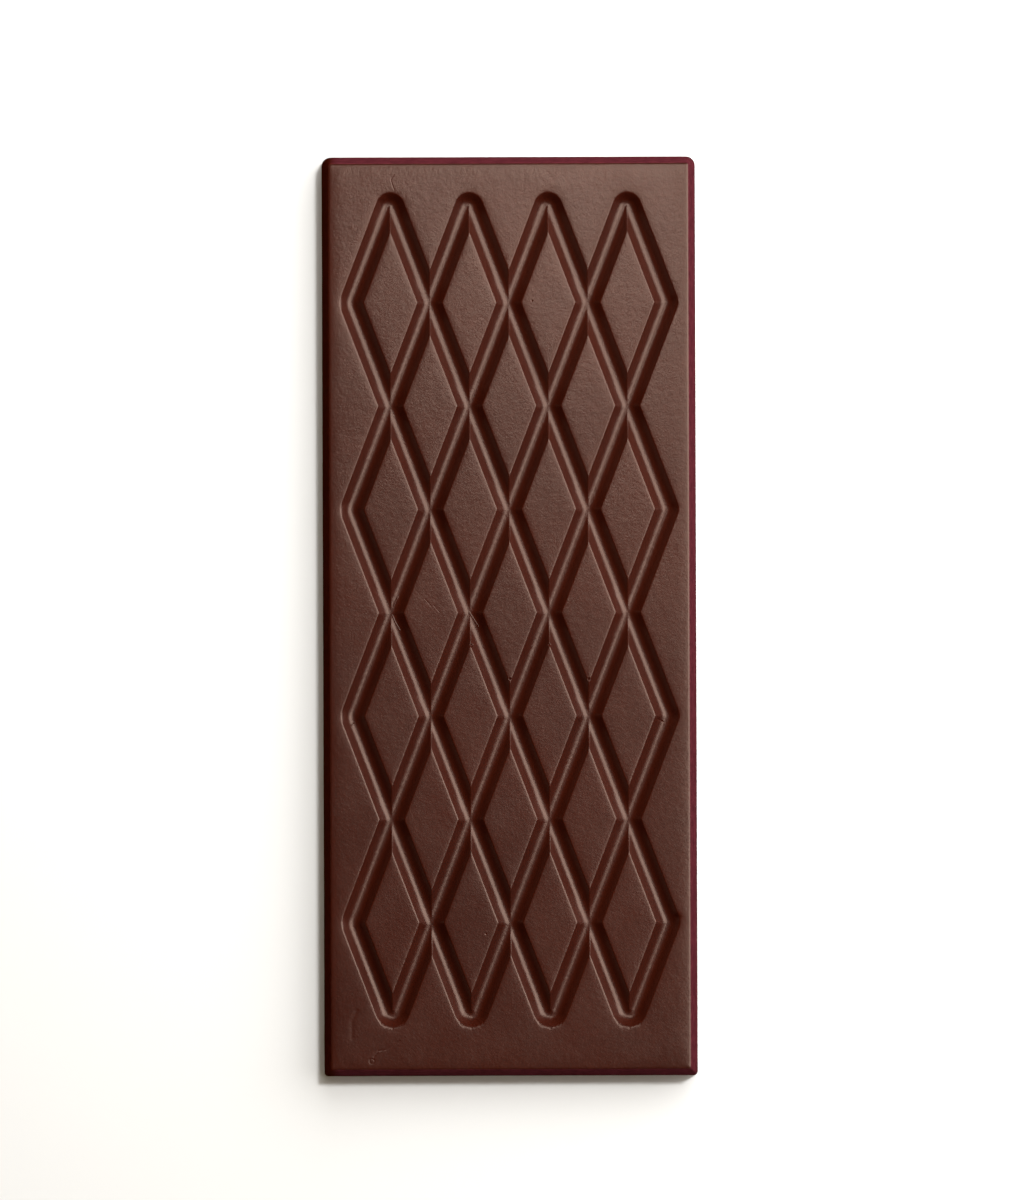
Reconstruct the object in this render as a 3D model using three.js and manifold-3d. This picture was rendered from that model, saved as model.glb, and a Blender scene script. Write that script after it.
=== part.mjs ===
// A moulded bar of dark chocolate, lying on its scraped back with the patterned face up.
// Crossing round-bottomed grooves mark that face with a lattice of tall diamonds.
// Units are millimetres. The origin is the centre of the back, +Z is up, +Y points to the head end.

import * as THREE from "three";
import { mergeVertices } from "three/addons/utils/BufferGeometryUtils.js";
import Module from "manifold-3d";

const wasm = await Module();
wasm.setup();

// Driving dimensions of the slab
const BAR_LENGTH = 160;
const BAR_WIDTH = 65;
const BAR_HEIGHT = 8;
const DRAFT = THREE.MathUtils.degToRad(8); // lean of the sides, which frees the bar from its mould
const FACE_EDGE_RADIUS = 0.5; // rounding between the sides and the patterned face
const HEAD_CORNER_RADIUS = 1.6; // upright corners, measured at the back
const FOOT_CORNER_RADIUS = 0.7;
const FACE_CORNER_RADIUS = 0.3; // least radius that a corner narrows to

// Driving dimensions of the diamond lattice
const DIAMONDS_ACROSS = 4;
const DIAMONDS_ALONG = 4;
const DIAMOND_WIDTH = 13.73;
const DIAMOND_LENGTH = 35.95;
const LATTICE_SHIFT = 0.65; // the lattice sits this much nearer to the head end
const HEAD_TIP_ROUNDING = 0.5; // plan radius of a groove's centre line where it turns at a head tip
const FOOT_TIP_ROUNDING = 1.05; // the same at a foot tip
const SIDE_ROUNDING = 2.4; // the same at a side vertex, a little more than half a groove's width

const HALF_ANGLE = Math.atan2(DIAMOND_WIDTH, DIAMOND_LENGTH); // between a groove and the bar's length

// Driving dimensions of a groove's section
const GROOVE_DEPTH = 1.52;
const FLOOR_RADIUS = 1.38;
const LIP_RADIUS = 0.4;
const WALL_SLOPE = THREE.MathUtils.degToRad(45);

// Fineness of the round stretches
const FLOOR_STEPS = 4;
const LIP_STEPS = 2;
const EDGE_STEPS = 4;
const CORNER_STEPS = 5;
const TURN_STEP = THREE.MathUtils.degToRad(9); // where a groove bends round a tip or a side vertex

const POST_SIDES = 8; // of the slim post that opens the axis of a tip's turn
const POST_SHARE = 1 / 3; // its radius, as a share of the tip's rounding

const CUT_HEADROOM = 1; // how far the cutting shapes rise above the patterned face
const WELD = 1e-4;

const CHOCOLATE = { color: 0x4f2f26, roughness: 0.42, metalness: 0 };

// Turns a closed geometry into a solid that can be joined and cut.
function toSolid(geometry) {
  geometry.deleteAttribute("normal");
  geometry.deleteAttribute("uv");
  const welded = mergeVertices(geometry, WELD);
  return new wasm.Manifold(
    new wasm.Mesh({
      numProp: 3,
      vertProperties: welded.attributes.position.array,
      triVerts: new Uint32Array(welded.index.array),
    }),
  );
}

// Turns a solid back into a geometry.
function toGeometry(solid) {
  const mesh = solid.getMesh();
  const geometry = new THREE.BufferGeometry();
  geometry.setAttribute("position", new THREE.BufferAttribute(mesh.vertProperties, 3));
  geometry.setIndex(new THREE.BufferAttribute(mesh.triVerts, 1));
  geometry.computeVertexNormals();
  return geometry;
}

// Outline of the slab, anticlockwise, at one inset from the back's edge.
function slabOutline(inset) {
  const x = BAR_WIDTH / 2 - inset;
  const y = BAR_LENGTH / 2 - inset;
  const head = Math.max(HEAD_CORNER_RADIUS - inset, FACE_CORNER_RADIUS);
  const foot = Math.max(FOOT_CORNER_RADIUS - inset, FACE_CORNER_RADIUS);
  const corners = [
    { sx: 1, sy: 1, radius: head, from: 0 },
    { sx: -1, sy: 1, radius: head, from: 1 },
    { sx: -1, sy: -1, radius: foot, from: 2 },
    { sx: 1, sy: -1, radius: foot, from: 3 },
  ];
  return corners.flatMap(({ sx, sy, radius, from }) =>
    Array.from({ length: CORNER_STEPS + 1 }, (_, step) => {
      const turn = (from + step / CORNER_STEPS) * (Math.PI / 2);
      return new THREE.Vector2(
        sx * (x - radius) + radius * Math.cos(turn),
        sy * (y - radius) + radius * Math.sin(turn),
      );
    }),
  );
}

// Inset and height of each ring of the slab's side, from the back up to the patterned face.
function sideRings() {
  const steepest = Math.PI / 2 - DRAFT;
  const wallTop = BAR_HEIGHT - FACE_EDGE_RADIUS * (1 - Math.cos(steepest));
  const faceInset = wallTop * Math.tan(DRAFT) + FACE_EDGE_RADIUS * Math.sin(steepest);
  const rings = [{ inset: 0, height: 0 }];
  for (let step = 0; step <= EDGE_STEPS; step++) {
    const tilt = steepest * (1 - step / EDGE_STEPS);
    rings.push({
      inset: faceInset - FACE_EDGE_RADIUS * Math.sin(tilt),
      height: BAR_HEIGHT - FACE_EDGE_RADIUS * (1 - Math.cos(tilt)),
    });
  }
  return rings;
}

// The slab without its grooves: leaning sides, a rounded face edge and two flat faces.
function slab() {
  const rings = sideRings();
  const outlines = rings.map(({ inset }) => slabOutline(inset));
  const count = outlines[0].length;
  const positions = outlines.flatMap((outline, ring) =>
    outline.flatMap((p) => [p.x, p.y, rings[ring].height]),
  );
  const faces = [];
  for (let ring = 0; ring + 1 < rings.length; ring++) {
    for (let i = 0; i < count; i++) {
      const a = ring * count + i;
      const b = ring * count + ((i + 1) % count);
      faces.push(a, b, b + count, a, b + count, a + count);
    }
  }
  const top = (rings.length - 1) * count;
  for (const [a, b, c] of THREE.ShapeUtils.triangulateShape(outlines[0], [])) faces.push(a, c, b);
  for (const [a, b, c] of THREE.ShapeUtils.triangulateShape(outlines.at(-1), [])) {
    faces.push(top + a, top + b, top + c);
  }
  const geometry = new THREE.BufferGeometry();
  geometry.setAttribute("position", new THREE.Float32BufferAttribute(positions, 3));
  geometry.setIndex(faces);
  return toSolid(geometry);
}

// Half of a groove's section as points (distance from its centre line, height), floor first.
function halfSection() {
  const rounded = (FLOOR_RADIUS + LIP_RADIUS) * (1 - Math.cos(WALL_SLOPE));
  const wall = (GROOVE_DEPTH - rounded) / Math.sin(WALL_SLOPE);
  const halfWidth =
    (FLOOR_RADIUS + LIP_RADIUS) * Math.sin(WALL_SLOPE) + wall * Math.cos(WALL_SLOPE);
  const points = [];
  for (let step = 0; step <= FLOOR_STEPS; step++) {
    const tilt = (WALL_SLOPE * step) / FLOOR_STEPS;
    points.push(
      new THREE.Vector2(
        FLOOR_RADIUS * Math.sin(tilt),
        BAR_HEIGHT - GROOVE_DEPTH + FLOOR_RADIUS * (1 - Math.cos(tilt)),
      ),
    );
  }
  for (let step = 0; step <= LIP_STEPS; step++) {
    const tilt = WALL_SLOPE * (1 - step / LIP_STEPS);
    points.push(
      new THREE.Vector2(
        halfWidth - LIP_RADIUS * Math.sin(tilt),
        BAR_HEIGHT - LIP_RADIUS * (1 - Math.cos(tilt)),
      ),
    );
  }
  points.push(new THREE.Vector2(halfWidth, BAR_HEIGHT + CUT_HEADROOM));
  return points;
}

// Both halves of a groove's section, from its left top corner round to its right one.
function wholeSection() {
  const right = halfSection();
  const left = right.slice(1).map((p) => new THREE.Vector2(-p.x, p.y));
  return [...left.reverse(), ...right];
}

// Cutting shape of a straight groove between two points of its centre line.
function straightGroove(from, to) {
  const section = new THREE.Shape(wholeSection());
  const along = to.clone().sub(from);
  const geometry = new THREE.ExtrudeGeometry(section, {
    depth: along.length(),
    bevelEnabled: false,
  });
  along.normalize();
  const up = new THREE.Vector3(0, 0, 1);
  const across = up.clone().cross(along);
  geometry.applyMatrix4(new THREE.Matrix4().makeBasis(across, up, along).setPosition(from));
  return toSolid(geometry);
}

// Section of a groove that turns about an axis at x = 0, its centre line at a plan radius. It stops
// at the axis where the groove is too wide for the turn.
function turnedSection(radius) {
  const whole = wholeSection().map((p) => new THREE.Vector2(p.x + radius, p.y));
  if (whole[0].x > 0) return whole;
  return [
    new THREE.Vector2(0, BAR_HEIGHT - GROOVE_DEPTH),
    ...whole.slice((whole.length - 1) / 2),
    new THREE.Vector2(0, BAR_HEIGHT + CUT_HEADROOM),
  ];
}

// Cutting shape of a groove that turns round a centre, its centre line at a plan radius. It fans out
// from a middle direction, and reaches one step into the straight groove at either side.
function turnedGroove(centre, radius, middle, halfSpan) {
  const section = turnedSection(radius);
  const steps = Math.ceil((2 * halfSpan) / TURN_STEP);
  const positions = [];
  for (let step = -1; step <= steps + 1; step++) {
    const turn = middle + halfSpan * ((2 * step) / steps - 1);
    for (const { x, y } of section) {
      positions.push(centre.x + x * Math.cos(turn), centre.y + x * Math.sin(turn), y);
    }
  }
  const count = section.length;
  const faces = [];
  for (let ring = 0; ring <= steps + 1; ring++) {
    for (let j = 0; j < count; j++) {
      const next = (j + 1) % count;
      const a = ring * count + j;
      const b = ring * count + next;
      if (section[j].x > 0) faces.push(a, a + count, b + count);
      if (section[next].x > 0) faces.push(a, b + count, b);
    }
  }
  const last = (steps + 2) * count;
  for (const [a, b, c] of THREE.ShapeUtils.triangulateShape(section, [])) {
    faces.push(a, b, c, last + a, last + c, last + b);
  }
  const geometry = new THREE.BufferGeometry();
  geometry.setAttribute("position", new THREE.Float32BufferAttribute(positions, 3));
  geometry.setIndex(faces);
  return toSolid(geometry);
}

// Slim cutting post on the axis of a tip's turn, where the shapes that meet there only touch.
function tipPost(centre, rounding) {
  const low = BAR_HEIGHT - GROOVE_DEPTH / 2;
  const high = BAR_HEIGHT + CUT_HEADROOM / 2;
  const radius = rounding * POST_SHARE;
  const geometry = new THREE.CylinderGeometry(radius, radius, high - low, POST_SIDES);
  geometry.rotateX(Math.PI / 2).translate(centre.x, centre.y, (low + high) / 2);
  return toSolid(geometry);
}

// Point of the lattice, counted in half diamonds from its head left corner.
function latticePoint(across, along) {
  return new THREE.Vector3(
    (across - DIAMONDS_ACROSS) * (DIAMOND_WIDTH / 2),
    LATTICE_SHIFT + (DIAMONDS_ALONG - along) * (DIAMOND_LENGTH / 2),
    0,
  );
}

// The straight runs of the lattice: every line of grooves, from one border of the lattice to the other.
function latticeRuns() {
  const lastAcross = 2 * DIAMONDS_ACROSS;
  const lastAlong = 2 * DIAMONDS_ALONG;
  const runs = [];
  for (const lean of [1, -1]) {
    const starts = [];
    for (let across = 1; across < lastAcross; across += 2) starts.push([across, 0]);
    for (let along = 1; along < lastAlong; along += 2) starts.push([lean > 0 ? 0 : lastAcross, along]);
    for (const [across, along] of starts) {
      const room = lean > 0 ? lastAcross - across : across;
      const steps = Math.min(room, lastAlong - along);
      runs.push([
        [across, along],
        [across + lean * steps, along + steps],
      ]);
    }
  }
  return runs;
}

// Distance along the bar from a tip's lattice point to the centre of its turn.
function tipDrop(rounding) {
  return rounding / Math.sin(HALF_ANGLE);
}

// Distance along a groove from a tip's lattice point to where the groove begins to turn.
function tipTrim(rounding) {
  return rounding / Math.tan(HALF_ANGLE);
}

// The rounded turns of the lattice: its tips at the head and foot ends and its side vertices.
function latticeTurns() {
  const lastAcross = 2 * DIAMONDS_ACROSS;
  const lastAlong = 2 * DIAMONDS_ALONG;
  const turns = [];
  for (let across = 1; across < lastAcross; across += 2) {
    for (const [along, side, rounding] of [
      [0, 1, HEAD_TIP_ROUNDING],
      [lastAlong, -1, FOOT_TIP_ROUNDING],
    ]) {
      const centre = latticePoint(across, along);
      centre.y -= side * tipDrop(rounding);
      turns.push(turnedGroove(centre, rounding, (side * Math.PI) / 2, Math.PI / 2 - HALF_ANGLE));
      turns.push(tipPost(centre, rounding));
    }
  }
  for (let along = 1; along < lastAlong; along += 2) {
    for (const [across, side, middle] of [
      [0, -1, Math.PI],
      [lastAcross, 1, 0],
    ]) {
      const centre = latticePoint(across, along);
      centre.x -= (side * SIDE_ROUNDING) / Math.cos(HALF_ANGLE);
      turns.push(turnedGroove(centre, SIDE_ROUNDING, middle, HALF_ANGLE));
    }
  }
  return turns;
}

// Every groove of the lattice, joined into one cutting shape.
function lattice() {
  const sideTrim = SIDE_ROUNDING * Math.tan(HALF_ANGLE);
  const runs = latticeRuns().map(([start, end]) => {
    const from = latticePoint(...start);
    const to = latticePoint(...end);
    const along = to.clone().sub(from).normalize();
    from.addScaledVector(along, start[1] === 0 ? tipTrim(HEAD_TIP_ROUNDING) : sideTrim);
    to.addScaledVector(along, end[1] === 2 * DIAMONDS_ALONG ? -tipTrim(FOOT_TIP_ROUNDING) : -sideTrim);
    return straightGroove(from, to);
  });
  return [...runs, ...latticeTurns()].reduce((joined, cut) => joined.add(cut));
}

// The bar: one piece of chocolate.
function chocolateBar() {
  const geometry = toGeometry(slab().subtract(lattice()));
  const mesh = new THREE.Mesh(geometry, new THREE.MeshStandardMaterial(CHOCOLATE));
  mesh.name = "chocolate_bar";
  return mesh;
}

const bar = new THREE.Group();
bar.add(chocolateBar());

export default bar;
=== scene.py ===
"""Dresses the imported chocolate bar: a finely pressed diamond lattice, satin chocolate, and a studio."""

import math

import bmesh
import bpy
from bpy.props import FloatProperty, FloatVectorProperty, IntProperty, PointerProperty
from mathutils import Matrix, Vector, geometry


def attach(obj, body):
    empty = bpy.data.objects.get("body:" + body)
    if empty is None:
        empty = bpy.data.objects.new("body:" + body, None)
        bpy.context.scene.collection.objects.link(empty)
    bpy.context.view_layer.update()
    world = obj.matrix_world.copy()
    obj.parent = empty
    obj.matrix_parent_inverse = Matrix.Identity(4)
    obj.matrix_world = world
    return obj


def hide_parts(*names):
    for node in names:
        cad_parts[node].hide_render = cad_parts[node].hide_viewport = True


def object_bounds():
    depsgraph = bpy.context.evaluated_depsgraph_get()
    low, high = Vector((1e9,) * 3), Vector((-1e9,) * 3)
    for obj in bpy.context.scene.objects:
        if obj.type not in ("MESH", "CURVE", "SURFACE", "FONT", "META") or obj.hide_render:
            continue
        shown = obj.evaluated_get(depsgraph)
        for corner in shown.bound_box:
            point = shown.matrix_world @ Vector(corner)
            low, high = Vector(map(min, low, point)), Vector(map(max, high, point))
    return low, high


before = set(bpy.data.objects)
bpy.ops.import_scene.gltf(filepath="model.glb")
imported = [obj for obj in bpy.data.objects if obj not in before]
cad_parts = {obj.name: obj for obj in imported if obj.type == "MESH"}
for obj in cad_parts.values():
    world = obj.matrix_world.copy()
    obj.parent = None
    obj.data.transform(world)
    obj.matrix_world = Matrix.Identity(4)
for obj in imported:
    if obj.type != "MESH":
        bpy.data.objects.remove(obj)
CAD_LOW, CAD_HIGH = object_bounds()

NODE = "chocolate_bar"
BODY = "root"
MM = 0.001

# How finely the blank is divided. Turns are in degrees, and groove lines in mm from a groove's centre.
CORNER_STEPS = 8
EDGE_STEPS = 8
BACK_EDGE_TURNS = (0, 30, 60, 90)
WALL_SHARES = (0.15, 0.3, 0.45, 0.6, 0.75, 0.9)
OUTLINE_STEP = 0.6 * MM
GROOVE_LINES = (0, 0.22, 0.44, 0.66, 0.88, 1.1, 1.5, 1.82, 1.95, 2.03, 2.1, 2.2, 2.4, 2.75, 3.2)
DIAMOND_STEPS = 4
TIP_ZONE = 3.0 * MM
TIP_STEP = 0.19 * MM
MARK_ZONE = 6.0 * MM
REFINE_PASSES = 6
BORDER = 0.15 * MM
BACK_STEP = 2.5 * MM
HAIR = 1e-7

# The stage's fixed parts
FLOOR_HALF = 3.0
FLOOR_GAP = 0.02 * MM
VIEW_CENTRE = (0.07 * MM, 2.84 * MM)

bl_info = {
    "name": "Moulded chocolate bar",
    "version": (1, 0, 0),
    "blender": (4, 5, 0),
    "location": "View3D > Sidebar > Chocolate",
    "description": "Makes a chocolate bar with a pressed diamond lattice, and a studio to show it in",
    "category": "Add Mesh",
}


# Settings


class BarSettings(bpy.types.PropertyGroup):
    """Sizes of the bar without its lattice"""

    length: FloatProperty(
        name="Length", description="Length of the back",
        subtype="DISTANCE", default=CAD_HIGH.y - CAD_LOW.y,
    )
    width: FloatProperty(
        name="Width", description="Width of the back",
        subtype="DISTANCE", default=CAD_HIGH.x - CAD_LOW.x,
    )
    thickness: FloatProperty(
        name="Thickness", description="From the back to the face",
        subtype="DISTANCE", default=CAD_HIGH.z,
    )
    draft: FloatProperty(
        name="Draft", description="Lean of the sides",
        subtype="ANGLE", default=math.radians(8),
    )
    face_edge: FloatProperty(
        name="Face edge", description="Rounding from the sides to the face",
        subtype="DISTANCE", default=0.5 * MM,
    )
    back_edge: FloatProperty(
        name="Back edge", description="Rounding from the sides to the back",
        subtype="DISTANCE", default=0.12 * MM,
    )
    head_corner: FloatProperty(
        name="Head corners", description="Rounding at the back",
        subtype="DISTANCE", default=1.6 * MM,
    )
    foot_corner: FloatProperty(
        name="Foot corners", description="Rounding at the back",
        subtype="DISTANCE", default=0.7 * MM,
    )
    face_corner: FloatProperty(
        name="Face corners", description="Least rounding of a corner",
        subtype="DISTANCE", default=0.3 * MM,
    )


class LatticeSettings(bpy.types.PropertyGroup):
    """Sizes of the diamond lattice and of its grooves"""

    diamonds_across: IntProperty(
        name="Diamonds across", description="Diamonds in one row",
        default=4, min=1,
    )
    diamonds_along: IntProperty(
        name="Diamonds along", description="Diamonds in one column",
        default=4, min=1,
    )
    diamond_width: FloatProperty(
        name="Diamond width", description="Between groove crossings",
        subtype="DISTANCE", default=13.73 * MM,
    )
    diamond_length: FloatProperty(
        name="Diamond length", description="Between groove crossings",
        subtype="DISTANCE", default=35.95 * MM,
    )
    shift: FloatProperty(
        name="Shift", description="Of the lattice towards the head end",
        subtype="DISTANCE", default=0.65 * MM,
    )
    head_tip: FloatProperty(
        name="Head tips", description="Turn of a groove at a head tip",
        subtype="DISTANCE", default=0.5 * MM,
    )
    foot_tip: FloatProperty(
        name="Foot tips", description="Turn of a groove at a foot tip",
        subtype="DISTANCE", default=1.05 * MM,
    )
    left_turn: FloatProperty(
        name="Left turns", description="Turn of a groove at a left vertex",
        subtype="DISTANCE", default=2.6 * MM,
    )
    right_turn: FloatProperty(
        name="Right turns", description="Turn of a groove at a right vertex",
        subtype="DISTANCE", default=0.6 * MM,
    )
    floor_half: FloatProperty(
        name="Floor half width", description="Round bottom of a groove",
        subtype="DISTANCE", default=1.08 * MM,
    )
    lip_half: FloatProperty(
        name="Lip half width", description="From a groove's centre to its lip",
        subtype="DISTANCE", default=2.03 * MM,
    )
    lip_softness: FloatProperty(
        name="Lip softness", description="Rounding of the lip",
        subtype="DISTANCE", default=0.055 * MM,
    )
    lip_sag: FloatProperty(
        name="Lip sag", description="Fall of the face towards a lip",
        subtype="DISTANCE", default=0.055 * MM,
    )
    sag_width: FloatProperty(
        name="Sag width", description="How far from a lip the face begins to fall",
        subtype="DISTANCE", default=0.5 * MM,
    )
    wall_slope: FloatProperty(
        name="Wall slope", description="Of a groove's walls",
        subtype="ANGLE", default=math.radians(51.5),
    )
    ridge_softness: FloatProperty(
        name="Ridge softness", description="Of the edges where grooves cross",
        subtype="DISTANCE", default=0.24 * MM,
    )
    waviness: FloatProperty(
        name="Waviness", description="Unevenness of the grooves' lines",
        subtype="DISTANCE", default=0.03 * MM,
    )
    shoulder_drop: FloatProperty(
        name="Shoulder drop", description="Fall of the face at its edge",
        subtype="DISTANCE", default=0.1 * MM,
    )
    shoulder_width: FloatProperty(
        name="Shoulder width", description="How far in the face begins to fall",
        subtype="DISTANCE", default=0.8 * MM,
    )


class ChocolateSettings(bpy.types.PropertyGroup):
    """Colours and finish of the chocolate, with a painted purple reflection on its sides"""

    brown: FloatVectorProperty(
        name="Brown", description="Main colour",
        subtype="COLOR", size=3, min=0, max=1, default=(0.034, 0.0042, 0.0013),
    )
    deep_brown: FloatVectorProperty(
        name="Deep brown", description="Colour of the mottling",
        subtype="COLOR", size=3, min=0, max=1, default=(0.029, 0.0035, 0.0011),
    )
    # Painted reflection: this purple colour of the sides stands in for a reflection in their gloss. The
    # left side lies in shade and keeps its brown.
    plum: FloatVectorProperty(
        name="Plum", description="Cast of the sides, but for the left one",
        subtype="COLOR", size=3, min=0, max=1, default=(0.074, 0.0135, 0.0185),
    )
    sheen: FloatVectorProperty(
        name="Sheen", description="Colour of the reflections",
        subtype="COLOR", size=3, min=0, max=1, default=(1.0, 0.76, 0.62),
    )
    roughness: FloatProperty(
        name="Roughness", description="Of the patterned face",
        subtype="FACTOR", min=0, max=1, default=0.335,
    )
    back_roughness: FloatProperty(
        name="Back roughness", description="Of the scraped back",
        subtype="FACTOR", min=0, max=1, default=0.6,
    )


class StageSettings(bpy.types.PropertyGroup):
    """Floor, lights and camera"""

    floor_colour: FloatVectorProperty(
        name="Floor", description="Colour of the floor",
        subtype="COLOR", size=3, min=0, max=1, default=(0.75, 0.75, 0.74),
    )
    key_power: FloatProperty(
        name="Key light", description="Power of the near softbox",
        unit="POWER", default=7.9,
    )
    key_azimuth: FloatProperty(
        name="Key azimuth", description="From the right towards the head",
        subtype="ANGLE", default=math.radians(11),
    )
    key_elevation: FloatProperty(
        name="Key elevation", description="Above the floor",
        subtype="ANGLE", default=math.radians(42.2),
    )
    key_distance: FloatProperty(
        name="Key distance", description="From the middle of the bar",
        subtype="DISTANCE", default=0.647,
    )
    key_width: FloatProperty(
        name="Key width", description="Level side of the softbox",
        subtype="DISTANCE", default=0.472,
    )
    key_depth: FloatProperty(
        name="Key depth", description="Leaning side of the softbox",
        subtype="DISTANCE", default=0.78,
    )
    head_power: FloatProperty(
        name="Head light", description="Power of the softbox at the head",
        unit="POWER", default=0.28,
    )
    head_azimuth: FloatProperty(
        name="Head azimuth", description="From the right towards the head",
        subtype="ANGLE", default=math.radians(79.8),
    )
    head_elevation: FloatProperty(
        name="Head elevation", description="Above the floor",
        subtype="ANGLE", default=math.radians(70),
    )
    head_distance: FloatProperty(
        name="Head distance", description="From the middle of the bar",
        subtype="DISTANCE", default=0.34,
    )
    head_width: FloatProperty(
        name="Head width", description="Level side of the softbox",
        subtype="DISTANCE", default=0.07,
    )
    head_depth: FloatProperty(
        name="Head depth", description="Leaning side of the softbox",
        subtype="DISTANCE", default=0.12,
    )
    wide_power: FloatProperty(
        name="Wide light", description="Power of the wide light, which has no reflection",
        unit="POWER", default=2.8,
    )
    wide_azimuth: FloatProperty(
        name="Wide azimuth", description="From the right towards the head",
        subtype="ANGLE", default=math.radians(43),
    )
    wide_elevation: FloatProperty(
        name="Wide elevation", description="Above the floor",
        subtype="ANGLE", default=math.radians(44),
    )
    wide_distance: FloatProperty(
        name="Wide distance", description="From the middle of the bar",
        subtype="DISTANCE", default=0.343,
    )
    wide_width: FloatProperty(
        name="Wide width", description="Level side of the wide light",
        subtype="DISTANCE", default=0.6,
    )
    wide_depth: FloatProperty(
        name="Wide depth", description="Leaning side of the wide light",
        subtype="DISTANCE", default=0.45,
    )
    lamp_power: FloatProperty(
        name="Lamp", description="Power of the small lamp above, which has no reflection",
        unit="POWER", default=7.2,
    )
    lamp_azimuth: FloatProperty(
        name="Lamp azimuth", description="From the right towards the head",
        subtype="ANGLE", default=math.radians(45),
    )
    lamp_elevation: FloatProperty(
        name="Lamp elevation", description="Above the floor",
        subtype="ANGLE", default=math.radians(70),
    )
    lamp_distance: FloatProperty(
        name="Lamp distance", description="From the middle of the bar",
        subtype="DISTANCE", default=1.0,
    )
    lamp_width: FloatProperty(
        name="Lamp width", description="Level side of the lamp",
        subtype="DISTANCE", default=0.1,
    )
    lamp_depth: FloatProperty(
        name="Lamp depth", description="Leaning side of the lamp",
        subtype="DISTANCE", default=0.1,
    )
    room_light: FloatProperty(
        name="Room light", description="Strength of the light all round",
        default=0.16,
    )
    room_colour: FloatVectorProperty(
        name="Room colour", description="Colour of the light all round",
        subtype="COLOR", size=3, min=0, max=1, default=(1.0, 0.76, 0.42),
    )
    camera_height: FloatProperty(
        name="Camera height", description="Above the floor",
        subtype="DISTANCE", default=5.0,
    )
    camera_roll: FloatProperty(
        name="Camera roll", description="Clockwise, seen from above",
        subtype="ANGLE", default=math.radians(0.19),
    )
    frame_height: FloatProperty(
        name="Frame height", description="Length of floor that the picture takes in",
        subtype="DISTANCE", default=0.209,
    )


# Node trees


class Wire:
    """An output in a node tree. Arithmetic on it adds Math nodes to the tree."""

    def __init__(self, maker, socket):
        self.maker = maker
        self.socket = socket

    def __add__(self, other):
        return self.maker.math("ADD", self, other)

    def __radd__(self, other):
        return self.maker.math("ADD", other, self)

    def __sub__(self, other):
        return self.maker.math("SUBTRACT", self, other)

    def __rsub__(self, other):
        return self.maker.math("SUBTRACT", other, self)

    def __mul__(self, other):
        return self.maker.math("MULTIPLY", self, other)

    def __rmul__(self, other):
        return self.maker.math("MULTIPLY", other, self)

    def __truediv__(self, other):
        return self.maker.math("DIVIDE", self, other)

    def __rtruediv__(self, other):
        return self.maker.math("DIVIDE", other, self)

    def __pow__(self, other):
        return self.maker.math("POWER", self, other)

    def __neg__(self):
        return self.maker.math("MULTIPLY", self, -1.0)

    def __abs__(self):
        return self.maker.math("ABSOLUTE", self)

    def __gt__(self, other):
        return self.maker.math("GREATER_THAN", self, other)

    def __lt__(self, other):
        return self.maker.math("LESS_THAN", self, other)


class Maker:
    """Adds nodes to one tree."""

    def __init__(self, tree):
        self.tree = tree

    def add(self, kind, settings=None, inputs=None, output=0):
        """Adds a node, sets its settings, then its inputs, and gives one of its outputs."""
        node = self.tree.nodes.new(kind)
        for name, value in (settings or {}).items():
            setattr(node, name, value)
        for name, value in (inputs or {}).items():
            socket = node.inputs[name]
            if isinstance(value, Wire):
                self.tree.links.new(value.socket, socket)
            else:
                socket.default_value = value
        return Wire(self, node.outputs[output]) if node.outputs else node

    def math(self, operation, *values):
        """Adds one Math node."""
        return self.add("ShaderNodeMath", {"operation": operation}, dict(enumerate(values)))

    def least(self, a, b):
        return self.math("MINIMUM", a, b)

    def most(self, a, b):
        return self.math("MAXIMUM", a, b)

    def held(self, value, low, high):
        return self.least(self.most(value, low), high)

    def length(self, a, b):
        return self.math("SQRT", a * a + b * b)

    def odd(self, value):
        """Nearest odd whole number."""
        return 2.0 * self.math("FLOOR", value / 2.0) + 1.0

    def ramp(self, value, low, high, to_low=0.0, to_high=1.0):
        """Eases from one value to another as the input goes from low to high."""
        return self.add(
            "ShaderNodeMapRange",
            {"interpolation_type": "SMOOTHSTEP"},
            {0: value, 1: low, 2: high, 3: to_low, 4: to_high},
        )

    def mix(self, factor, a, b, blend="MIX"):
        """Mixes two colours."""
        settings = {"data_type": "RGBA", "blend_type": blend, "clamp_factor": True}
        return self.add("ShaderNodeMix", settings, {0: factor, 6: a, 7: b}, output=2)

    def noise(self, where, scale, detail=2.0, roughness=0.5, seed=0.0):
        """Smooth noise from 0 to 1. Seed picks one of its patterns."""
        settings = {"noise_dimensions": "4D"}
        inputs = {"Vector": where, "W": seed, "Scale": scale, "Detail": detail, "Roughness": roughness}
        return self.add("ShaderNodeTexNoise", settings, inputs)

    def shaded(self, tone, factor):
        """A colour made lighter or darker by a number."""
        grey = self.add("ShaderNodeCombineColor", None, {0: factor, 1: factor, 2: factor})
        return self.mix(1.0, tone, grey, "MULTIPLY")

    def bump(self, height):
        """Normals of a surface with this height."""
        return self.add("ShaderNodeBump", None, {"Strength": 1.0, "Distance": 1.0, "Height": height})


def colour(rgb):
    return (*rgb, 1.0)


# The blank: the bar before its lattice is pressed, with lines of vertices along the grooves to come


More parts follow.
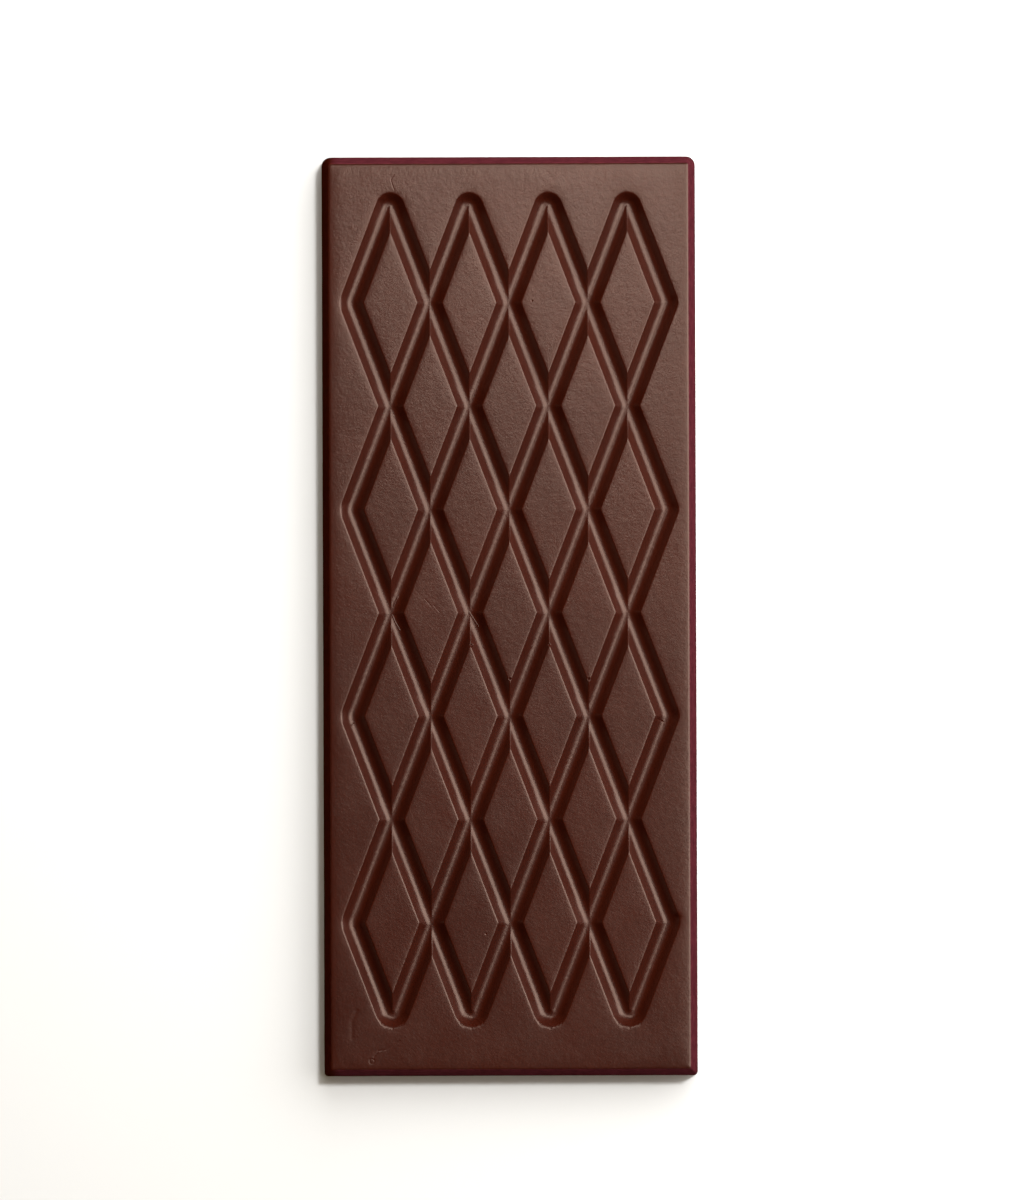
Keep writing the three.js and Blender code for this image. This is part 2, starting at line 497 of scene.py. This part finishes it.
def outline(bar, inset):
    """Rounded rectangle of the bar at one inset from the back's edge, evenly divided, anticlockwise."""
    x = bar.width / 2 - inset
    y = bar.length / 2 - inset
    head = max(bar.head_corner - inset, bar.face_corner)
    foot = max(bar.foot_corner - inset, bar.face_corner)
    corners = [(1, 1, head), (-1, 1, head), (-1, -1, foot), (1, -1, foot)]
    arcs = []
    for quarter, (sx, sy, radius) in enumerate(corners):
        turns = [math.radians(90 * (quarter + step / CORNER_STEPS)) for step in range(CORNER_STEPS + 1)]
        centre = Vector((sx * (x - radius), sy * (y - radius)))
        arcs.append([centre + radius * Vector((math.cos(t), math.sin(t))) for t in turns])
    points = []
    for quarter, arc in enumerate(arcs):
        start, end = arc[-1], arcs[(quarter + 1) % 4][0]
        divisions = round((bar.width if quarter % 2 == 0 else bar.length) / OUTLINE_STEP)
        points += arc
        points += [start.lerp(end, step / divisions) for step in range(1, divisions)]
    return points


def side_rings(bar):
    """Inset and height of each ring of the side, from the flat of the back to the flat of the face."""
    steepest = math.pi / 2 - bar.draft
    edge = bar.face_edge
    wall_top = bar.thickness - edge * (1 - math.cos(steepest))
    face_inset = wall_top * math.tan(bar.draft) + edge * math.sin(steepest)
    soft = bar.back_edge
    rings = []
    for turn in map(math.radians, BACK_EDGE_TURNS):
        rings.append((soft * (1 - math.sin(turn)), soft * (1 - math.cos(turn))))
    for share in WALL_SHARES:
        height = soft + share * (wall_top - soft)
        rings.append((height * math.tan(bar.draft), height))
    for step in range(EDGE_STEPS + 1):
        tilt = steepest * (1 - step / EDGE_STEPS)
        rings.append((face_inset - edge * math.sin(tilt), bar.thickness - edge * (1 - math.cos(tilt))))
    return rings


def lattice_lines(first, last, gap):
    """Places of the lines of vertices along the grooves, counted in half diamonds across them."""
    offsets = [mm * MM / gap for mm in GROOVE_LINES]
    lines = []
    for groove in range(first, last + 1, 2):
        lines += [groove - offset for offset in reversed(offsets[1:])]
        lines += [groove + offset for offset in offsets]
        if groove < last:
            spare = 2 - 2 * offsets[-1]
            steps = [spare * step / DIAMOND_STEPS for step in range(1, DIAMOND_STEPS)]
            lines += [groove + offsets[-1] + step for step in steps]
    return lines


def lattice_grid(bar, lattice, low, high):
    """Triangles of the flat face between two corners, along the lines of the lattice."""
    half_width = lattice.diamond_width / 2
    half_length = lattice.diamond_length / 2
    gap = half_width * half_length / math.hypot(half_width, half_length)
    last = 2 * lattice.diamonds_across + 1
    falling = lattice_lines(-last, last, gap)
    rising = lattice_lines(-1, 2 * last - 1, gap)
    head = lattice.shift + lattice.diamonds_along * half_length

    def place(s, t):
        """Where the line s of the falling grooves and the line t of the rising ones cross."""
        return ((s + t) / 2 - lattice.diamonds_across) * half_width, head - (t - s) / 2 * half_length

    mesh = bmesh.new()
    made = {}

    def vertex(i, j):
        if (i, j) not in made:
            made[i, j] = mesh.verts.new((*place(falling[i], rising[j]), bar.thickness))
        return made[i, j]

    def odd_offset(value):
        """How far a place lies past the centre of its groove."""
        return value - (2 * math.floor(value / 2) + 1)

    for i in range(len(falling) - 1):
        for j in range(len(rising) - 1):
            corners = [(i, j), (i + 1, j), (i + 1, j + 1), (i, j + 1)]
            places = [place(falling[a], rising[b]) for a, b in corners]
            xs = [p[0] for p in places]
            ys = [p[1] for p in places]
            if max(xs) < low.x or min(xs) > high.x or max(ys) < low.y or min(ys) > high.y:
                continue
            s = odd_offset((falling[i] + falling[i + 1]) / 2)
            t = odd_offset((rising[j] + rising[j + 1]) / 2)
            a, b, c, d = (vertex(*corner) for corner in corners)
            # The shared edge of the two triangles follows the crease where two grooves meet
            if s * t > 0:
                mesh.faces.new((c, b, a))
                mesh.faces.new((d, c, a))
            else:
                mesh.faces.new((b, a, d))
                mesh.faces.new((c, b, d))
    for point, normal in [
        ((low.x, 0, 0), (-1, 0, 0)),
        ((high.x, 0, 0), (1, 0, 0)),
        ((0, low.y, 0), (0, -1, 0)),
        ((0, high.y, 0), (0, 1, 0)),
    ]:
        everything = mesh.verts[:] + mesh.edges[:] + mesh.faces[:]
        bmesh.ops.bisect_plane(
            mesh, geom=everything, dist=HAIR, plane_co=point, plane_no=normal, clear_outer=True
        )
    return mesh


class Mark:
    """A small flaw of the face: a line of points, a half width and a depth, all in mm.

    A depth below zero is a height. A mark with one point is a dot, or a ring round it.
    """

    def __init__(self, points, width, depth, ring=0.0):
        self.points = [Vector(p) * MM for p in points]
        self.width = width * MM
        self.depth = depth * MM
        self.ring = ring * MM

    def near(self, place):
        """Whether the mark can reach a place."""
        return (place - self.points[0]).length < MARK_ZONE

    def distance(self, place):
        """Distance to the line, the dot or the ring."""
        if len(self.points) == 1:
            return abs((place - self.points[0]).length - self.ring)
        nearest = []
        for a, b in zip(self.points, self.points[1:]):
            share = (place - a).dot(b - a) / (b - a).length_squared
            nearest.append((place - a.lerp(b, min(max(share, 0.0), 1.0))).length)
        return min(nearest)

    def dent(self, place):
        """Depth that the mark adds at a place."""
        return self.depth * math.exp(-((self.distance(place) / self.width) ** 2))


MARKS = [
    # Specks, and bubbles where grooves cross
    Mark([(4.06, 54.83)], 0.13, 0.09),
    Mark([(-4.3, -55.24)], 0.13, 0.09),
    Mark([(-26.0, -53.9)], 0.14, -0.1),
    Mark([(-6.68, -5.02)], 0.2, 0.5),
    Mark([(6.9, -5.01)], 0.16, 0.4),
    Mark([(0.01, -10.9)], 0.16, 0.3),
    Mark([(13.75, -10.95)], 0.16, 0.3),
    # Scratches and raised creases in the middle
    Mark([(-14.74, 3.08), (-13.65, 1.82)], 0.09, 0.02),
    Mark([(-13.26, 2.01), (-12.21, 0.76)], 0.09, 0.016),
    Mark([(-20.22, 2.04), (-19.43, 3.39)], 0.08, -0.05),
    Mark([(-20.42, 0.3), (-19.9, -0.95), (-19.07, -2.4)], 0.08, -0.06),
    Mark([(-7.04, 0.74), (-5.4, -1.79)], 0.08, -0.06),
    # Ring with a tail and a long crease at the foot
    Mark([(-24.2, -77.31)], 0.14, 0.035, ring=0.42),
    Mark(
        [(-23.84, -76.56), (-23.08, -75.48), (-21.74, -75.3), (-20.75, -74.71), (-19.41, -73.76)],
        0.16, 0.035,
    ),
    Mark([(-26.89, -68.52), (-27.66, -70.44), (-27.67, -73.35)], 0.4, 0.035),
    # Nicks at the sides and a scratch at the head
    Mark([(-27.64, -18.88), (-27.24, -18.5)], 0.1, 0.05),
    Mark([(25.75, -17.99), (26.51, -18.38)], 0.13, 0.12),
    Mark([(-19.77, 76.82), (-20.29, 76.3), (-20.38, 75.78), (-19.86, 74.22)], 0.08, 0.03),
    Mark([(28.95, -52.4)], 0.5, 0.25),
]


def tip_places(lattice):
    """Middles of the turns at the head and foot tips."""
    half_angle = math.atan2(lattice.diamond_width, lattice.diamond_length)
    places = []
    for side, rounding in ((1, lattice.head_tip), (-1, lattice.foot_tip)):
        reach = lattice.diamonds_along * lattice.diamond_length / 2 - rounding / math.sin(half_angle)
        for column in range(lattice.diamonds_across):
            x = (column - (lattice.diamonds_across - 1) / 2) * lattice.diamond_width
            places.append((Vector((x, lattice.shift + side * reach)), side))
    return places


def refine(mesh, longest):
    """Halves the edges of a flat mesh until each is no longer than the length allowed at its middle."""
    for _ in range(REFINE_PASSES):
        cut = [
            edge
            for edge in mesh.edges
            if edge.calc_length() > longest(((edge.verts[0].co + edge.verts[1].co) / 2).xy)
        ]
        if not cut:
            break
        bmesh.ops.subdivide_edges(mesh, edges=cut, cuts=1, use_grid_fill=True)
        bmesh.ops.triangulate(mesh, faces=[face for face in mesh.faces if len(face.verts) > 3])


def fineness(tips):
    """A function that gives the longest edge allowed at a point of the face."""

    def longest(point):
        allowed = 1.0
        for centre, side in tips:
            offset = point - centre
            if offset.length < TIP_ZONE and offset.y * side > -0.5 * MM:
                allowed = TIP_STEP
        for mark in MARKS:
            if mark.near(point):
                # Fine in the mark, and coarser with the distance from it
                beside = mark.distance(point) - 1.5 * mark.width
                allowed = min(allowed, max(0.7 * mark.width, 0.6 * beside))
        return allowed

    return longest


def filled(points, edges, keep):
    """Delaunay triangles on points and edges, those whose middle passes a test, as point numbers."""
    made, _, faces, sources, _, _ = geometry.delaunay_2d_cdt(points, edges, [], 0, 1e-9)
    back = [source[0] for source in sources]
    kept = []
    for face in faces:
        middle = sum((made[i] for i in face), Vector((0, 0))) / len(face)
        if keep(middle):
            kept.append([back[i] for i in face])
    return kept


def add_sides(mesh, bar, rings):
    """Adds the sides, from the back up to the flat of the face, and gives their rings of vertices."""
    side = mesh.faces.layers.int["side"]
    loops = [[mesh.verts.new((*p, height)) for p in outline(bar, inset)] for inset, height in rings]
    count = len(loops[0])
    for ring, (lower, upper) in enumerate(zip(loops, loops[1:])):
        for i in range(count):
            j = (i + 1) % count
            face = mesh.faces.new((lower[i], lower[j], upper[j], upper[i]))
            # The upper half of the rounded edge has the finish of the face
            face[side] = ring + EDGE_STEPS // 2 + 1 < len(rings)
    return loops


def add_border(mesh, grid_half, flat_half, loop):
    """Adds the narrow flat border between the grid and the loop of vertices round the flat face."""
    height = loop[0].co.z
    rim = [v for v in mesh.verts if v.is_boundary and v.co.z > height - HAIR and v.link_faces]
    reach = grid_half + Vector((10 * HAIR, 10 * HAIR))
    inner = [v for v in rim if abs(v.co.x) < reach.x and abs(v.co.y) < reach.y]
    number = {v: i for i, v in enumerate(inner)}
    edges = [
        (number[e.verts[0]], number[e.verts[1]])
        for v in inner
        for e in v.link_edges
        if e.is_boundary and e.verts[0] is v and e.verts[1] in number
    ]
    start, count = len(inner), len(loop)
    verts = inner + loop
    edges += [(start + i, start + (i + 1) % count) for i in range(count)]

    def in_border(p):
        outside_grid = abs(p.x) > grid_half.x or abs(p.y) > grid_half.y
        return outside_grid and abs(p.x) < flat_half.x and abs(p.y) < flat_half.y

    for face in filled([v.co.xy for v in verts], edges, in_border):
        mesh.faces.new([verts[i] for i in face])


def add_back(mesh, bar, loop):
    """Adds the back inside its loop of vertices, with an even grid of points to keep it smooth."""
    back = mesh.faces.layers.int["back"]
    columns, rows = int(bar.width / 2 / BACK_STEP), int(bar.length / 2 / BACK_STEP)
    verts = list(loop)
    for i in range(-columns, columns + 1):
        for j in range(-rows, rows + 1):
            x, y = i * BACK_STEP, j * BACK_STEP
            if abs(x) < bar.width / 2 - BACK_STEP and abs(y) < bar.length / 2 - BACK_STEP:
                verts.append(mesh.verts.new((x, y, 0)))
    edges = [(i, (i + 1) % len(loop)) for i in range(len(loop))]
    for face in filled([v.co.xy for v in verts], edges, lambda p: True):
        mesh.faces.new([verts[i] for i in reversed(face)])[back] = 1


def blank_mesh(bar, lattice):
    """The bar before its lattice is pressed, as one closed mesh that knows its side and back faces."""
    rings = side_rings(bar)
    inset = rings[-1][0]
    flat_half = Vector((bar.width / 2 - inset, bar.length / 2 - inset))
    grid_half = flat_half - Vector((BORDER, BORDER))
    mesh = lattice_grid(bar, lattice, -grid_half, grid_half)
    refine(mesh, fineness(tip_places(lattice)))
    dent = mesh.verts.layers.float.new("dent")
    for vert in mesh.verts:
        place = vert.co.xy
        vert[dent] = sum(mark.dent(place) for mark in MARKS if mark.near(place))
    mesh.faces.layers.int.new("side")
    mesh.faces.layers.int.new("back")
    loops = add_sides(mesh, bar, rings)
    add_border(mesh, grid_half, flat_half, loops[-1])
    add_back(mesh, bar, loops[0])
    bmesh.ops.triangulate(mesh, faces=[f for f in mesh.faces if len(f.verts) > 3])
    bmesh.ops.recalc_face_normals(mesh, faces=mesh.faces)
    for face in mesh.faces:
        face.smooth = True
    blank = bpy.data.meshes.new("chocolate_blank")
    mesh.to_mesh(blank)
    mesh.free()
    return blank


# The press: a tree that sinks the lattice into the blank's face


def run_distance(maker, across, along, size, start_trim, end_trim):
    """Distance to the nearest run of grooves that leans one way, held between the ends of the run."""
    line = maker.held(maker.odd(across - along), 1.0 - size["last_along"], size["last_across"] - 1.0)
    off = (across - along - line) * size["gap"]
    length = size["step_length"]
    foot = (across * size["across_share"]) + (along + line) * size["along_share"]
    starts_at_tip = line > 0.0
    ends_at_tip = (size["last_along"] + line) < size["last_across"]
    start = maker.most(line, 0.0) + start_trim + starts_at_tip * (size["head_trim"] - start_trim)
    end = maker.least(size["last_across"], size["last_along"] + line) - end_trim
    end = end - ends_at_tip * (size["foot_trim"] - end_trim)
    past = (foot - maker.held(foot, start, end)) * length
    return maker.length(off, past)


def turn_distance(maker, aside, inward, rounding, span_cosine):
    """Distance to a rounded turn, or a great one outside its span, where a straight run is nearer."""
    outward = rounding / span_cosine - inward
    reach = maker.length(aside, outward)
    in_turn = outward > reach * span_cosine
    return abs(reach - rounding) + (1.0 - in_turn)


def tip_distance(maker, across, along, size):
    """Distance to the turn of the nearest tip, at the head or the foot."""
    tip = maker.held(maker.odd(across), 1.0, size["last_across"] - 1.0)
    aside = (across - tip) * size["half_width"]
    at_foot = along > size["last_along"] / 2.0
    rounding = size["head_tip"] + (size["foot_tip"] - size["head_tip"]) * at_foot
    inward = maker.least(along, size["last_along"] - along) * size["half_length"]
    return turn_distance(maker, aside, inward, rounding, size["half_angle_sine"])


def side_distance(maker, across, along, size):
    """Distance to the turn of the nearest side vertex."""
    vertex = maker.held(maker.odd(along), 1.0, size["last_along"] - 1.0)
    aside = (along - vertex) * size["half_length"]
    inward = maker.least(across, size["last_across"] - across) * size["half_width"]
    at_right = across > size["last_across"] / 2.0
    rounding = size["left_turn"] + (size["right_turn"] - size["left_turn"]) * at_right
    return turn_distance(maker, aside, inward, rounding, size["half_angle_cosine"])


def groove_height(maker, distance, size):
    """Height of a groove's surface against the flat face, at a distance from its centre line."""
    steep = maker.math("TANGENT", size["wall_slope"])
    soft = size["lip_softness"]
    edge = size["floor_half"]

    def wall(at):
        line = (at - size["lip_half"]) * steep
        return line, maker.length(line, soft)

    line, bend = wall(edge)
    end_slope = (1.0 - line / bend) * steep / 2.0
    radius = edge * maker.length(1.0, end_slope) / end_slope
    on_floor = maker.least(distance, edge)
    level = maker.math("SQRT", radius * radius - edge * edge)
    floor = level - maker.math("SQRT", radius * radius - on_floor * on_floor)
    line, bend = wall(maker.most(distance, edge))
    past_lip = maker.most(distance - size["lip_half"], 0.0)
    sag = size["lip_sag"] * maker.math("EXPONENT", -(past_lip / size["sag_width"]))
    # Nothing is left of the sag where the next groove's begins
    fade = maker.ramp(distance, size["lip_half"] * 1.4, size["lip_half"] * 1.85, 1.0, 0.0)
    return (floor + (line - bend) / 2.0 - sag) * fade


def socket_name(item):
    """Name of the tree's input for one of the lattice settings."""
    return item.replace("_", " ").title()


def press_tree(lattice_items):
    """Geometry Nodes: presses a lattice of round grooves into a face, then sets the finishes."""
    tree = bpy.data.node_groups.new("Press diamond lattice", "GeometryNodeTree")
    tree.interface.new_socket("Geometry", in_out="OUTPUT", socket_type="NodeSocketGeometry")
    sockets = {"Blank": "NodeSocketGeometry"}
    for item in lattice_items:
        sockets[socket_name(item)] = "NodeSocketFloat"
    sockets["Diamonds Across"] = sockets["Diamonds Along"] = "NodeSocketInt"
    for name in ("Face Half Width", "Face Half Length", "Thickness", "Seed"):
        sockets[name] = "NodeSocketFloat"
    for name in ("Face Finish", "Side Finish", "Back Finish"):
        sockets[name] = "NodeSocketMaterial"
    for name, kind in sockets.items():
        tree.interface.new_socket(name, in_out="INPUT", socket_type=kind)
    maker = Maker(tree)
    group_input = tree.nodes.new("NodeGroupInput")
    given = {name: Wire(maker, group_input.outputs[name]) for name in sockets}

    size = {item: given[socket_name(item)] for item in lattice_items}
    half_width = size["diamond_width"] / 2.0
    half_length = size["diamond_length"] / 2.0
    step_length = maker.length(half_width, half_length)
    tip_share = half_length / (half_width * step_length)
    side_share = half_width / (half_length * step_length)
    size |= {
        "half_width": half_width,
        "half_length": half_length,
        "step_length": step_length,
        "gap": half_width * half_length / step_length,
        "across_share": (half_width / step_length) ** 2.0,
        "along_share": (half_length / step_length) ** 2.0,
        "last_across": size["diamonds_across"] * 2.0,
        "last_along": size["diamonds_along"] * 2.0,
        "half_angle_sine": half_width / step_length,
        "half_angle_cosine": half_length / step_length,
        "head_trim": size["head_tip"] * tip_share,
        "foot_trim": size["foot_tip"] * tip_share,
        "left_trim": size["left_turn"] * side_share,
        "right_trim": size["right_turn"] * side_share,
    }
    where = maker.add("GeometryNodeInputPosition")
    x, y, z = (maker.add("ShaderNodeSeparateXYZ", None, {0: where}, output=axis) for axis in "XYZ")
    across = x / half_width + size["diamonds_across"]
    along = size["diamonds_along"] - (y - size["shift"]) / half_length

    left_trim, right_trim = size["left_trim"], size["right_trim"]
    falling = run_distance(maker, across, along, size, left_trim, right_trim)
    rising = run_distance(maker, size["last_across"] - across, along, size, right_trim, left_trim)
    straight = maker.math("SMOOTH_MIN", falling, rising, size["ridge_softness"])
    at_tips = tip_distance(maker, across, along, size)
    at_sides = side_distance(maker, across, along, size)
    distance = maker.least(straight, maker.least(at_tips, at_sides))
    sway = maker.noise(where, scale=90.0, seed=given["Seed"]) - 0.5
    distance = maker.most(distance + sway * size["waviness"], 0.0)
    on_face = z > (given["Thickness"] - 0.01 * MM)
    sink = groove_height(maker, distance, size) * on_face
    margin = maker.least(given["Face Half Width"] - abs(x), given["Face Half Length"] - abs(y))
    inward = maker.most(margin, 0.0) / size["shoulder_width"]
    fall = size["shoulder_drop"] * maker.math("EXPONENT", -inward)
    dent = maker.add("GeometryNodeInputNamedAttribute", {"data_type": "FLOAT"}, {"Name": "dent"})
    sink = sink - dent - fall * z / given["Thickness"]
    offset = maker.add("ShaderNodeCombineXYZ", None, {2: sink})
    pressed = maker.add("GeometryNodeSetPosition", None, {"Geometry": given["Blank"], "Offset": offset})
    real = maker.add("GeometryNodeRealizeInstances", None, {"Geometry": pressed})
    finished = maker.add(
        "GeometryNodeSetMaterial", None, {"Geometry": real, "Material": given["Face Finish"]}
    )
    for part in ("side", "back"):
        marked = maker.add("GeometryNodeInputNamedAttribute", {"data_type": "INT"}, {"Name": part})
        finish = given[part.title() + " Finish"]
        inputs = {"Geometry": finished, "Selection": marked, "Material": finish}
        finished = maker.add("GeometryNodeSetMaterial", None, inputs)
    tree.links.new(finished.socket, tree.nodes.new("NodeGroupOutput").inputs[0])
    return tree


def press_lattice(blank, lattice, bar, finishes):
    """Runs the press on the blank and gives the result as a plain mesh."""
    carrier = bpy.data.objects.new("chocolate_blank", blank)
    bpy.context.scene.collection.objects.link(carrier)
    lattice_items = list(LatticeSettings.__annotations__)
    tree = press_tree(lattice_items)
    press = carrier.modifiers.new("Press", "NODES")
    press.node_group = tree
    inset = side_rings(bar)[-1][0]
    values = {socket_name(item): getattr(lattice, item) for item in lattice_items}
    values |= {
        "Face Half Width": bar.width / 2 - inset,
        "Face Half Length": bar.length / 2 - inset,
        "Thickness": bar.thickness,
        "Seed": 3.0,
        "Face Finish": finishes["face"],
        "Side Finish": finishes["side"],
        "Back Finish": finishes["back"],
    }
    sockets = {item.name: item for item in tree.interface.items_tree if item.in_out == "INPUT"}
    for name, value in values.items():
        press[sockets[name].identifier] = value
    evaluated = carrier.evaluated_get(bpy.context.evaluated_depsgraph_get())
    mesh = bpy.data.meshes.new_from_object(evaluated)
    bpy.data.objects.remove(carrier)
    return mesh


# Finishes


def new_finish(name):
    """A material without nodes, with its maker and its Object coordinates."""
    material = bpy.data.materials.new(name)
    material.use_nodes = True
    material.node_tree.nodes.clear()
    maker = Maker(material.node_tree)
    where = maker.add("ShaderNodeTexCoord", None, None, output="Object")
    return material, maker, where


def close_finish(material, maker, shader_inputs):
    """Gives a material its shader and its output."""
    shader = maker.add("ShaderNodeBsdfPrincipled", None, shader_inputs)
    maker.add("ShaderNodeOutputMaterial", None, {"Surface": shader})
    return material


def chocolate_tone(maker, where, chocolate):
    """Brown with a faint mottling and finer specks."""
    cloud = maker.ramp(maker.noise(where, 60.0, 3.0, 0.55, seed=1.0), 0.35, 0.68)
    tone = maker.mix(cloud, colour(chocolate.deep_brown), colour(chocolate.brown))
    specks = maker.ramp(maker.noise(where, 1800.0, 2.0, 0.6, seed=2.0), 0.3, 0.75, 0.9, 1.12)
    return maker.shaded(tone, specks)


def face_finish(chocolate):
    """Satin face, as it comes out of a polished mould."""
    material, maker, where = new_finish("chocolate_face")
    tone = chocolate_tone(maker, where, chocolate)
    cloud = maker.noise(where, 140.0, 3.0, 0.5, seed=4.0)
    grain = maker.noise(where, 2600.0, 2.0, 0.6, seed=5.0)
    speckle = maker.noise(where, 900.0, 2.0, 0.5, seed=10.0)
    swell = maker.noise(where, 220.0, 2.0, 0.5, seed=6.0)
    inputs = {
        "Base Color": tone,
        "Roughness": chocolate.roughness + (cloud - 0.5) * 0.12,
        "Normal": maker.bump(grain * (0.027 * MM) + speckle * (0.032 * MM) + swell * (0.02 * MM)),
        "Specular Tint": colour(chocolate.sheen),
    }
    return close_finish(material, maker, inputs)


def side_finish(bar, chocolate):
    """Dull sides with a painted purple reflection. Its fading out towards the left side is painted shade.
    """
    material, maker, where = new_finish("chocolate_side")
    tone = chocolate_tone(maker, where, chocolate)
    left = -0.5 * bar.width
    x = maker.add("ShaderNodeSeparateXYZ", None, {0: where}, output="X")
    # Painted reflection and shade: purple on the lit sides, fading to plain brown on the left side, which
    # lies in shade
    painted_reflection_share = maker.ramp(x, left + 1.0 * MM, left + 3.0 * MM)
    tone = maker.mix(painted_reflection_share, tone, colour(chocolate.plum))
    grain = maker.noise(where, 1600.0, 3.0, 0.6, seed=7.0)
    shade = maker.ramp(maker.noise(where, 700.0, 2.0, 0.6, seed=11.0), 0.3, 0.7, 0.78, 1.18)
    inputs = {
        "Base Color": maker.shaded(tone, shade),
        "Roughness": 0.85 + (grain - 0.5) * 0.15,
        "Normal": maker.bump(grain * (0.01 * MM)),
        "Specular IOR Level": 0.0,
    }
    return close_finish(material, maker, inputs)


def back_finish(chocolate):
    """Back that was scraped level across the mould: duller, with fine streaks along the bar."""
    material, maker, where = new_finish("chocolate_back")
    tone = chocolate_tone(maker, where, chocolate)
    stretched = maker.add("ShaderNodeMapping", None, {"Vector": where, "Scale": (900.0, 25.0, 1.0)})
    streaks = maker.noise(stretched, 1.0, 3.0, 0.6, seed=8.0)
    lumps = maker.noise(where, 500.0, 3.0, 0.5, seed=9.0)
    inputs = {
        "Base Color": tone,
        "Roughness": chocolate.back_roughness + (streaks - 0.5) * 0.2,
        "Normal": maker.bump(streaks * (0.03 * MM) + lumps * (0.04 * MM)),
        "Specular IOR Level": 0.4,
    }
    return close_finish(material, maker, inputs)


# Operators


class CHOCOLATE_OT_bar(bpy.types.Operator):
    """Make the bar with its pressed lattice and its finishes"""

    bl_idname = "chocolate.bar"
    bl_label = "Chocolate bar"

    def execute(self, context):
        scene = context.scene
        bar = scene.bar_settings
        lattice = scene.lattice_settings
        chocolate = scene.chocolate_settings
        finishes = {
            "face": face_finish(chocolate),
            "side": side_finish(bar, chocolate),
            "back": back_finish(chocolate),
        }
        mesh = press_lattice(blank_mesh(bar, lattice), lattice, bar, finishes)
        mesh.name = "pressed_bar"
        piece = bpy.data.objects.new("pressed_bar", mesh)
        scene.collection.objects.link(piece)
        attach(piece, BODY)
        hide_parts(NODE)
        return {"FINISHED"}


class CHOCOLATE_OT_stage(bpy.types.Operator):
    """Make the floor, the lights and the camera"""

    bl_idname = "chocolate.stage"
    bl_label = "Stage"

    def execute(self, context):
        stage = context.scene.stage_settings
        make_floor(stage)
        make_lights(stage)
        make_camera(stage)
        return {"FINISHED"}


def make_floor(stage):
    mesh = bpy.data.meshes.new("floor")
    corners = [(x * FLOOR_HALF, y * FLOOR_HALF, 0) for x, y in ((-1, -1), (1, -1), (1, 1), (-1, 1))]
    mesh.from_pydata(corners, [], [(0, 1, 2, 3)])
    floor = bpy.data.objects.new("floor", mesh)
    floor.location.z = -FLOOR_GAP
    bpy.context.scene.collection.objects.link(floor)
    material, maker, _ = new_finish("floor_paper")
    inputs = {"Base Color": colour(stage.floor_colour), "Roughness": 0.9, "Specular IOR Level": 0.0}
    mesh.materials.append(close_finish(material, maker, inputs))


def add_panel(stage, name):
    """A rectangular light that faces the middle of the bar, not seen by the camera itself."""
    items = ("azimuth", "elevation", "distance", "width", "depth", "power")
    azimuth, elevation, distance, width, depth, power = (
        getattr(stage, name + "_" + item) for item in items
    )
    level = distance * math.cos(elevation)
    height = distance * math.sin(elevation)
    place = Vector((level * math.cos(azimuth), level * math.sin(azimuth), height))
    data = bpy.data.lights.new(name + "_light", "AREA")
    data.shape = "RECTANGLE"
    data.size = width
    data.size_y = depth
    data.energy = power
    light = bpy.data.objects.new(name + "_light", data)
    turn = (-place).to_track_quat("-Z", "Y").to_matrix().to_4x4()
    light.matrix_world = Matrix.Translation(place) @ turn
    light.visible_camera = False
    bpy.context.scene.collection.objects.link(light)
    return light


def make_lights(stage):
    """Two softboxes that show in the gloss, two lights that fill, and the light of the room."""
    add_panel(stage, "key").visible_diffuse = False
    add_panel(stage, "head").visible_diffuse = False
    add_panel(stage, "wide").visible_glossy = False
    add_panel(stage, "lamp").visible_glossy = False
    world = bpy.data.worlds.new("room")
    world.use_nodes = True
    background = world.node_tree.nodes["Background"]
    background.inputs["Color"].default_value = colour(stage.room_colour)
    background.inputs["Strength"].default_value = stage.room_light
    world.cycles_visibility.glossy = False
    bpy.context.scene.world = world
    bpy.context.scene.view_settings.view_transform = "Standard"


def make_camera(stage):
    data = bpy.data.cameras.new("camera")
    data.lens = data.sensor_width * stage.camera_height / stage.frame_height
    data.clip_start = 0.1
    data.clip_end = 20.0
    camera = bpy.data.objects.new("camera", data)
    camera.location = (*VIEW_CENTRE, stage.camera_height)
    camera.rotation_euler.z = -stage.camera_roll
    bpy.context.scene.collection.objects.link(camera)
    bpy.context.scene.camera = camera


class CHOCOLATE_PT_panel(bpy.types.Panel):
    """Lists the bar and its stage in the sidebar"""

    bl_idname = "CHOCOLATE_PT_panel"
    bl_label = "Chocolate bar"
    bl_space_type = "VIEW_3D"
    bl_region_type = "UI"
    bl_category = "Chocolate"

    def draw(self, context):
        layout = self.layout
        for group, operator in [
            ("bar_settings", None),
            ("lattice_settings", None),
            ("chocolate_settings", CHOCOLATE_OT_bar.bl_idname),
            ("stage_settings", CHOCOLATE_OT_stage.bl_idname),
        ]:
            box = layout.box()
            settings = getattr(context.scene, group)
            for name in settings.__annotations__:
                box.prop(settings, name)
            if operator:
                box.operator(operator)


CLASSES = [
    BarSettings,
    LatticeSettings,
    ChocolateSettings,
    StageSettings,
    CHOCOLATE_OT_bar,
    CHOCOLATE_OT_stage,
    CHOCOLATE_PT_panel,
]
SETTINGS = {
    "bar_settings": BarSettings,
    "lattice_settings": LatticeSettings,
    "chocolate_settings": ChocolateSettings,
    "stage_settings": StageSettings,
}


def register():
    for cls in CLASSES:
        bpy.utils.register_class(cls)
    for name, cls in SETTINGS.items():
        setattr(bpy.types.Scene, name, PointerProperty(type=cls))


def unregister():
    for name in SETTINGS:
        delattr(bpy.types.Scene, name)
    for cls in reversed(CLASSES):
        bpy.utils.unregister_class(cls)


def main():
    register()
    bpy.ops.chocolate.stage()
    bpy.ops.chocolate.bar()


if __name__ == "__main__":
    main()
